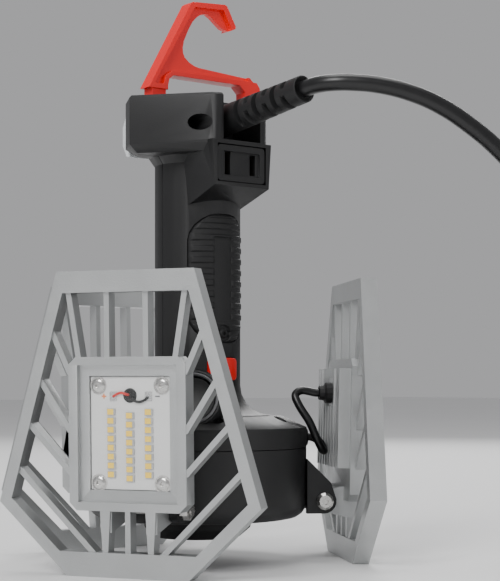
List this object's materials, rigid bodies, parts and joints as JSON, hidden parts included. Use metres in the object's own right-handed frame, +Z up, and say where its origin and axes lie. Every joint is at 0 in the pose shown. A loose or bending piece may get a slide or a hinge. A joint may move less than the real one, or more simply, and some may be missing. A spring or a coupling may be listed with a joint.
{
  "type": "work light",
  "caption": "Corded work light: a round handle on a drum hub with tilting ribbed light heads, a hanging hook, a pass-through outlet and a rear task lens.",
  "frame": {"origin": "centre of the bottom of the box round the light without its mains cord", "axes": "+Z up along the handle, the outlet and the grip face -Y, +X to the right seen from the front"},
  "size_m": [0.2486, 0.2677, 0.2327],
  "materials": {
    "black_plastic": "matte",
    "red_plastic": "satin",
    "cast_silver": "powder coated",
    "clear_glass": "clear",
    "white_board": "matte",
    "black_rubber": "matte",
    "nickel": "polished",
    "frosted_lens": "frosted",
    "cord_vinyl": "satin",
    "brass": "plain",
    "green_board": "satin"
  },
  "bodies": {
    "body": {"button_spring": "nickel", "cap_bezel": "black_plastic", "contact_left": "brass", "contact_right": "brass", "cord": "cord_vinyl", "cord_coil": "cord_vinyl", "driver_board": "green_board", "foot_plate": "black_rubber", "front_shell": "black_plastic", "grip_pad": "black_rubber", "grommet_left": "black_rubber", "grommet_rear": "black_rubber", "grommet_right": "black_rubber", "handle_screw": "nickel", "head_lead_left": "cord_vinyl", "head_lead_rear": "cord_vinyl", "head_lead_right": "cord_vinyl", "hinge_bolt_left": "nickel", "hinge_bolt_rear": "nickel", "hinge_bolt_right": "nickel", "hinge_nut_left": "nickel", "hinge_nut_rear": "nickel", "hinge_nut_right": "nickel", "hook": "red_plastic", "housing_screw_left": "nickel", "housing_screw_right": "nickel", "hub_base": "black_plastic", "hub_cover": "black_plastic", "hub_screw_1": "nickel", "hub_screw_2": "nickel", "hub_screw_3": "nickel", "hub_screw_4": "nickel", "outlet_face": "black_plastic", "plug": "black_rubber", "plug_blade_narrow": "brass", "plug_blade_wide": "brass", "rear_shell": "black_plastic", "round_cap": "black_plastic", "strain_relief": "black_rubber", "switch_body": "black_plastic", "task_led_board": "white_board", "task_lens": "frosted_lens"},
    "head_left": {"casting_left": "cast_silver", "window_left": "clear_glass", "led_board_left": "white_board", "cable_gland_left": "black_rubber"},
    "head_right": {"casting_right": "cast_silver", "window_right": "clear_glass", "led_board_right": "white_board", "cable_gland_right": "black_rubber"},
    "head_rear": {"casting_rear": "cast_silver", "window_rear": "clear_glass", "led_board_rear": "white_board", "cable_gland_rear": "black_rubber"},
    "button": {"mode_button": "red_plastic"}
  },
  "joints": [
    {"name": "head_left_tilt", "type": "hinge", "parent": "body", "child": "head_left", "pos_m": [-0.04399, -0.0198, 0.02508], "axis": [0.5, -0.866, 0], "range_deg": [-10, 88], "deforming": ["head_lead_left"]},
    {"name": "head_right_tilt", "type": "hinge", "parent": "body", "child": "head_right", "pos_m": [0.04399, -0.0198, 0.02508], "axis": [0.5, 0.866, 0], "range_deg": [-10, 88], "deforming": ["head_lead_right"]},
    {"name": "head_rear_tilt", "type": "hinge", "parent": "body", "child": "head_rear", "pos_m": [0, 0.0564, 0.02508], "axis": [-1, 0, 0], "range_deg": [-10, 88], "deforming": ["head_lead_rear"]},
    {"name": "mode_button_press", "type": "slide", "parent": "body", "child": "button", "axis": [0, 1, 0], "range_m": [0, 0.0015], "stiffness_N_per_m": 1200, "springref_m": -0.0003, "deforming": ["button_spring"]}
  ]
}
